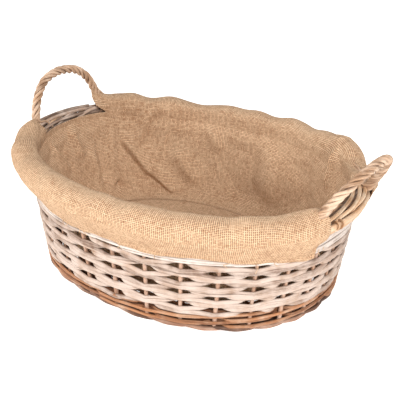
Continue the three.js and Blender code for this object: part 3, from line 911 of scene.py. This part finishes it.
CREASES = [
    ((11.75, 128), (10.5, 58), 8.5, 15.0, 1.5),
    ((10.95, 78), (9.25, 22), 8.0, 15.0, 1.5),
    ((11.95, 122), (10.75, 58), -4.5, 9.0, 1.6),
    ((11.1, 70), (9.6, 24), -4.0, 9.0, 1.6),
    ((10.15, 172), (11.25, 98), 5.0, 10.0, 1.5),
    ((9.75, 160), (10.85, 96), -4.0, 10.0, 1.7),
    ((9.75, 108), (8.6, 44), 5.5, 16.0, 1.6),
    ((7.45, 140), (6.95, 20), -5.5, 26.0, 1.9),
    ((6.3, 150), (5.9, 40), 4.5, 22.0, 1.9),
    ((12.2, 156), (12.85, 30), -6.5, 11.0, 1.6),
    ((11.9, 150), (12.3, 60), 4.0, 12.0, 1.6),
    ((12.15, 54), (11.6, 24), -6.0, 12.0, 1.7),
    ((13.2, 120), (12.7, 34), 5.0, 12.0, 1.6),
    ((15.1, 150), (14.05, 84), -5.0, 7.0, 1.5),
    ((15.35, 146), (14.35, 84), 5.0, 10.0, 1.5),
    ((13.9, 152), (13.6, 96), 4.5, 10.0, 1.6),
    ((8.4, 150), (7.9, 104), 3.5, 13.0, 1.8),
    ((5.0, 150), (4.4, 60), -4.0, 18.0, 1.8),
    ((3.62, 190), (3.5, 110), 4.4, 7.0, 1.2),
    ((3.1, 186), (2.7, 100), -3.4, 12.0, 1.7),
    ((2.2, 150), (1.7, 60), 3.5, 14.0, 1.7),
    ((20.3, 148), (19.2, 70), 4.0, 14.0, 1.6),
    ((24.4, 150), (25.2, 70), 4.5, 14.0, 1.6),
    ((17.6, 144), (18.3, 60), 4.0, 12.0, 1.6),
    ((26.8, 146), (27.5, 60), -3.5, 10.0, 1.6),
    ((22.2, 146), (21.6, 50), -3.5, 14.0, 1.6),
]
TACK = (26.2, 130.0)  # where the front flap is caught to the weave with a stitch


def ripples(k, z):
    total = 2.8 * field(k * 0.52 + 3, z / 46.0 + 0.2 * k, 21)
    total = total + 1.4 * field(k * 1.35, z / 24.0 - 0.35 * k, 22)
    return total + 0.6 * field(k * 3.1, z / 11.0, 23)


def fold(k, z):
    """How far the liner's wall stands into the basket from its resting line."""
    k = np.mod(k, STAKES)
    fade = smooth((STAKES - k) / 2)
    total = fade * ripples(k, z) + (1 - fade) * ripples(k - STAKES, z)
    for start, end, depth, width, sharp in CREASES:
        total = total + crease(k, z, start, end, depth, width, sharp)
    return total


def sheet_mesh(name, points, uv, kept):
    """A closed band of cloth from a grid of points; kept tells which of its cells are cloth."""
    n, m = points.shape[:2]
    i, j = np.nonzero(kept)
    i2 = (i + 1) % n
    quads = np.stack([i * m + j, i2 * m + j, i2 * m + j + 1, i * m + j + 1], -1)
    used = np.unique(quads)
    number = np.zeros(n * m, int)
    number[used] = np.arange(len(used))
    step = np.array([uv[1, 0, 0] - uv[0, 0, 0], 0.0])
    corners = np.stack([uv[i, j], uv[i2, j], uv[i2, j + 1], uv[i, j + 1]], 1)
    last = i2 == 0
    corners[last, 1] = uv[i[last], j[last]] + step
    corners[last, 2] = uv[i[last], j[last] + 1] + step
    mesh = bpy.data.meshes.new(name)
    mesh.from_pydata((points.reshape(-1, 3)[used] * MM).tolist(), [], number[quads].tolist())
    layer = mesh.uv_layers.new(name="cloth")
    layer.data.foreach_set("uv", (corners.reshape(-1) * MM).tolist())
    piece = finish_mesh(name, mesh, JUTE)
    thicken = piece.modifiers.new("cloth", "SOLIDIFY")
    thicken.thickness = CLOTH * MM
    thicken.offset = 0
    return piece


RIM_AXES = tuple(float(v) for v in wall_axes(RIM_LEVEL))
K_BACK = (stake_at_end(1, 81.5, RIM_AXES), stake_at_end(-1, 75.5, RIM_AXES))
K_FRONT = (stake_at_end(-1, -70.0, RIM_AXES), stake_at_end(1, -66.0, RIM_AXES))

# The liner's section, from the bottom up the wall, over the rim and down to the hem.
LINER_LINE = [
    (-40, 25.6), (-33, 27.4), (-26.5, 32), (-20.5, 40), (-16.5, 51), (-14.4, 65), (-13.4, 82),
    (-13.2, 100), (-13.4, 118), (-14, 130), (-15, 141), (-15.5, 150.3), (-15.8, 158),
    (-14.8, 166), (-9.6, 173.2), (-2, 177.0), (6, 177.4), (14, 174.6), (20, 167.5), (22.2, 158),
    (20.4, 146), (15.6, 134), (9.8, 123), (6.2, HEM_LEVEL),
]
FRONT_REACH = 0.36  # of a stake spacing, by which the front flap's low corner reaches on
BACK_REACH = 0.38  # the same for the back flap, where it is tied to a handle
CORNER_DROP = 10.0  # how much lower the front flap hangs at that corner
CORNER_SPREAD = 2.6  # stake spacings over which it drops
SLOT_EDGE = 12  # the point of the line where the cloth ends behind the handles
STEPS = 8

# How far the folded edge stands above its usual height: it is tied up to the handles.
LIFTS = [
    (K_BACK[0], -12.0), (2.6, -9.0), (3.05, -4.0), (3.4, 1.5), (3.62, 7.0), (3.82, 11.0),
    (4.0, 9.0), (4.3, 6.0),
    (5.2, 3.0), (6.5, 0.0), (9.5, 0.0), (10.8, 2.0), (K_BACK[1] - 0.8, 3.0),
    (K_BACK[1] - 0.45, 5.5), (K_BACK[1] - 0.2, 11.0), (K_BACK[1], 19.0), (K_FRONT[0], 3.0),
    (K_FRONT[0] + 1.0, 0.0),
    (K_FRONT[1], 0.0),
]
HUG_LEVELS = [115, 128, 138, 150, 160, 168]
HUG_OFFSETS = [6.2, 9.0, 14.2, 15.8, 15.0, 12.5]


def pinch(k):
    """1 at a flap's end, where it is drawn in against the border, 0 a short way along."""
    total = np.zeros_like(k)
    for end, strength in zip((*K_BACK, *K_FRONT), (0.9, 1.0, 0.6, 0.45)):
        total += strength * (1 - smooth(np.abs(k - end) / 0.55))
    return total


def skew(k, s):
    """How far a flap reaches on round the rim at its ends, by the handles."""
    low = 1 - smooth(np.abs(k - K_FRONT[1]) / 1.6)
    tied = 1 - smooth(np.abs(k - K_BACK[1]) / 0.9)
    tie = float(smooth(s / 0.1) * (1 - smooth((s - 0.26) / 0.2)))
    return FRONT_REACH * low * float(smooth(s / 0.5)) + BACK_REACH * tied * tie


def liner_columns():
    """Places round the rim, one exactly at each cut edge, and whether a flap hangs there."""
    stops = [*K_BACK, *K_FRONT, K_BACK[0] + STAKES]
    k, flap = [], []
    for i, (low, high) in enumerate(zip(stops, stops[1:])):
        count = round((high - low) * 30)
        k += list(np.linspace(low, high, count, endpoint=False))
        flap += [i % 2 == 0] * count
    return np.array(k), np.array(flap)


def liner_shell():
    """The liner's wall with its two flaps, cut from one cloth."""
    k, flap = liner_columns()
    profile = smooth_path(LINER_LINE, STEPS)
    edge = SLOT_EDGE * STEPS
    length = np.concatenate([[0], np.cumsum(np.hypot(*np.diff(profile, axis=0).T))])
    points = np.zeros((len(k), len(profile), 3))
    uv = np.zeros((len(k), len(profile), 2))
    places, heights = zip(*LIFTS)
    rise = np.interp(k, places, heights)
    drawn = pinch(k)
    lump = 1.8 * wave(k, 22, 41) + 1.1 * wave(k, 44, 42)
    hem = 2.4 * wave(k, 12, 43) + 0.4 * wave(k, 60, 44)
    for j, (offset, z) in enumerate(profile):
        s = max(0.0, (length[j] - length[edge]) / (length[-1] - length[edge]))
        if s == 0:
            inward = fold(k, z) * np.clip((z - 24) / 16, 0.15, 1)
            limit = np.interp(z, [118, 134], [-9.8, -14.6])
            out = np.minimum(offset - inward, limit)
            height = np.full_like(k, z)
        else:
            loose = np.clip((s - 0.5) / 0.5, 0, 1)
            over = smooth(s / 0.3) * smooth((1 - s) / 0.4)
            fade = 1 - smooth(s / 0.32)
            held = np.minimum(offset - fold(k, min(z, 176.0)), -14.6)
            ripple = 1.2 * field(k * 1.1, np.full_like(k, length[j] / 22), 45)
            ripple = ripple + 0.6 * field(k * 3.3, np.full_like(k, length[j] / 11), 46)
            free = offset + lump * over * 0.55 + ripple * smooth(s / 0.3)
            free = free + loose * 0.8 * wave(k, 18, 47) + (0.7 if s > 0.95 else 0.0)
            out = held * fade + free * (1 - fade)
            tuck = drawn * float(smooth((z - 166) / 8))
            out = out * (1 - 0.85 * tuck) + 1.5 * 0.85 * tuck
            if s > 0.45:
                hug = np.interp(z, HUG_LEVELS, HUG_OFFSETS)
                close = 0.95 * drawn * float(1 - smooth((z - 164) / 8))
                out = out * (1 - close) + hug * close
            if s > 0.6:
                away = np.hypot((k - TACK[0]) * STAKE_STEP, z - TACK[1])
                out = out - 5.0 * np.exp(-((away / 8) ** 2)) + 1.6 * np.exp(-(((away - 15) / 6) ** 2))
            height = z + lump * over * 0.8 + hem * loose + rise * float(smooth(s / 0.3))
            near = 1 - smooth(np.abs(k - K_FRONT[1]) / CORNER_SPREAD)
            height = height - CORNER_DROP * loose * near
        place_k = k + skew(k, s) if s > 0 else k
        points[:, j] = wall_point(angle(place_k), out, height)
        uv[:, j, 0] = place_k * STAKE_STEP
        uv[:, j, 1] = length[j]
    kept = np.ones((len(k), len(profile) - 1), bool)
    kept[~flap, edge:] = False
    piece = sheet_mesh("liner_cloth", points, uv, kept)
    place(piece, "jute", "liner_wall", "liner_skirt_back", "liner_skirt_front", body="liner")
    return piece, float(length[-1]), points[:, 0]


def liner_floor(edge):
    """The liner's oval bottom, joined to the wall's lowest line."""
    rings = 30
    points = np.zeros((len(edge), rings, 3))
    for j in range(rings):
        s = 1 - j / (rings - 1) * 0.985
        points[:, j] = edge * s
        x, y = points[:, j, 0], points[:, j, 1]
        lift = 1.3 * field(x / 60 + 9, y / 60 + 4, 31) + 0.5 * field(x / 22 + 9, y / 22 + 4, 32)
        join = float(smooth((1 - s) / 0.2))
        flat = LINER_FLOOR + lift * join
        points[:, j, 2] = flat * join + edge[:, 2] * (1 - join)
    points[:, -1] = points[:, -1].mean(0)
    every = np.ones((len(edge), rings - 1), bool)
    piece = sheet_mesh("liner_floor_cloth", points, points[..., :2].copy(), every)
    loops = np.zeros(len(piece.data.loops), np.int32)
    piece.data.loops.foreach_get("vertex_index", loops)
    flat_uv = points.reshape(-1, 3)[loops][:, :2] * MM
    piece.data.uv_layers["cloth"].data.foreach_set("uv", flat_uv.reshape(-1).tolist())
    place(piece, "jute", "liner_base", body="liner")
    return piece


def make_threads():
    """Loose ends of jute along the hem."""
    rods = Rods()
    for k in (24.88, *rng.uniform(18, 27.2, 12), *rng.uniform(3, 11, 12)):
        long = 15.0 if k == 24.88 else rng.uniform(3.5, 8)
        start = wall_point(angle(k), 7.4, 113.5)
        drop = outward(angle(k), 110.0) * rng.uniform(0.5, 2.5) + np.array([0, 0, -long])
        side = np.array([-drop[1], drop[0], 0.0]) * rng.normal() * 2.5
        points = [start, start + 0.4 * drop + side, start + drop + 0.3 * side]
        rods.add(smooth_path(points, 6), 0.42, float(rng.uniform()), sides=5)
    stitch = [(-0.09, 3.0), (-0.03, -2.4), (0.05, 2.6), (0.1, -2.0)]
    knot = [wall_point(angle(TACK[0] + dk), 12.6, TACK[1] + dz) for dk, dz in stitch]
    rods.add(smooth_path(knot, 6), 0.7, 0.1, sides=6)
    place(rods.build("loose_threads", FIBRE), "jute", body="liner")


def make_liner():
    shell, length, edge = liner_shell()
    floor = liner_floor(edge)


# ---- surroundings ----
def make_floor():
    mesh = bpy.data.meshes.new("studio_floor")
    half = 6.0
    mesh.from_pydata(
        [(-half, -half, 0), (half, -half, 0), (half, half, 0), (-half, half, 0)], [], [(0, 1, 2, 3)]
    )
    floor = bpy.data.objects.new("studio_floor", mesh)
    bpy.context.scene.collection.objects.link(floor)
    g = Graph("studio_white")
    where = g.node("ShaderNodeTexCoord").outputs["Object"]
    white = g.mix(g.noise(where, 3.0), rgb(250, 249, 247), rgb(255, 254, 252))
    g.set(g.shader.inputs["Base Color"], white)
    g.shader.inputs["Roughness"].default_value = 0.9
    g.shader.inputs["Emission Color"].default_value = rgb(255, 254, 252)
    g.shader.inputs["Emission Strength"].default_value = 0.62
    mesh.materials.append(g.material)


def area_light(name, place_at, target, size, power, colour):
    light = bpy.data.lights.new(name, "AREA")
    light.energy, light.size, light.color = power, size, colour
    lamp = bpy.data.objects.new(name, light)
    lamp.location = place_at
    lamp.rotation_euler = (Vector(target) - Vector(place_at)).to_track_quat("-Z", "Y").to_euler()
    bpy.context.scene.collection.objects.link(lamp)


CAMERA_AZIMUTH = math.radians(38.27)
CAMERA_ELEVATION = math.radians(25.47)
CAMERA_DISTANCE = 1.3563
CAMERA_TARGET = Vector((0.0, 0.0, 0.0891))
CAMERA_LENS = 82.09
CAMERA_SHIFT = (0.0289, 0.0148)


def make_studio():
    make_floor()
    world = bpy.data.worlds.new("studio")
    world.use_nodes = True
    sky = world.node_tree.nodes["Background"]
    sky.inputs[0].default_value = (1.0, 1.0, 1.0, 1.0)
    sky.inputs[1].default_value = 0.4
    bpy.context.scene.world = world
    area_light("left_front", (-1.9, -1.8, 0.8), (0, 0, 0.1), 0.6, 38, (1.0, 0.99, 0.97))
    area_light("right_front", (2.2, -1.0, 1.1), (0, 0, 0.1), 0.6, 26, (1.0, 0.99, 0.98))
    area_light("overhead", (1.1, -1.4, 1.75), (0, 0, 0.1), 0.6, 34, (1.0, 0.99, 0.98))
    camera = bpy.data.cameras.new("camera")
    camera.lens, camera.sensor_width = CAMERA_LENS, 36.0
    camera.shift_x, camera.shift_y = CAMERA_SHIFT
    eye = bpy.data.objects.new("camera", camera)
    flat = math.cos(CAMERA_ELEVATION)
    arm = Vector(
        (math.sin(CAMERA_AZIMUTH) * flat, -math.cos(CAMERA_AZIMUTH) * flat, math.sin(CAMERA_ELEVATION))
    )
    eye.location = CAMERA_TARGET + arm * CAMERA_DISTANCE
    eye.rotation_euler = (-arm).to_track_quat("-Z", "Y").to_euler()
    bpy.context.scene.collection.objects.link(eye)
    bpy.context.scene.camera = eye
    bpy.context.scene.view_settings.view_transform = "Standard"


make_studio()
make_foot()
make_bottom_wale()
make_weave()
make_top_wale()
make_stakes()
make_base_weave(make_base())
make_border()
make_handle(-1, "twisted_handle_left", "handle_left")
make_handle(1, "twisted_handle_right", "handle_right")
make_liner()
make_threads()

bpy.context.view_layer.update()
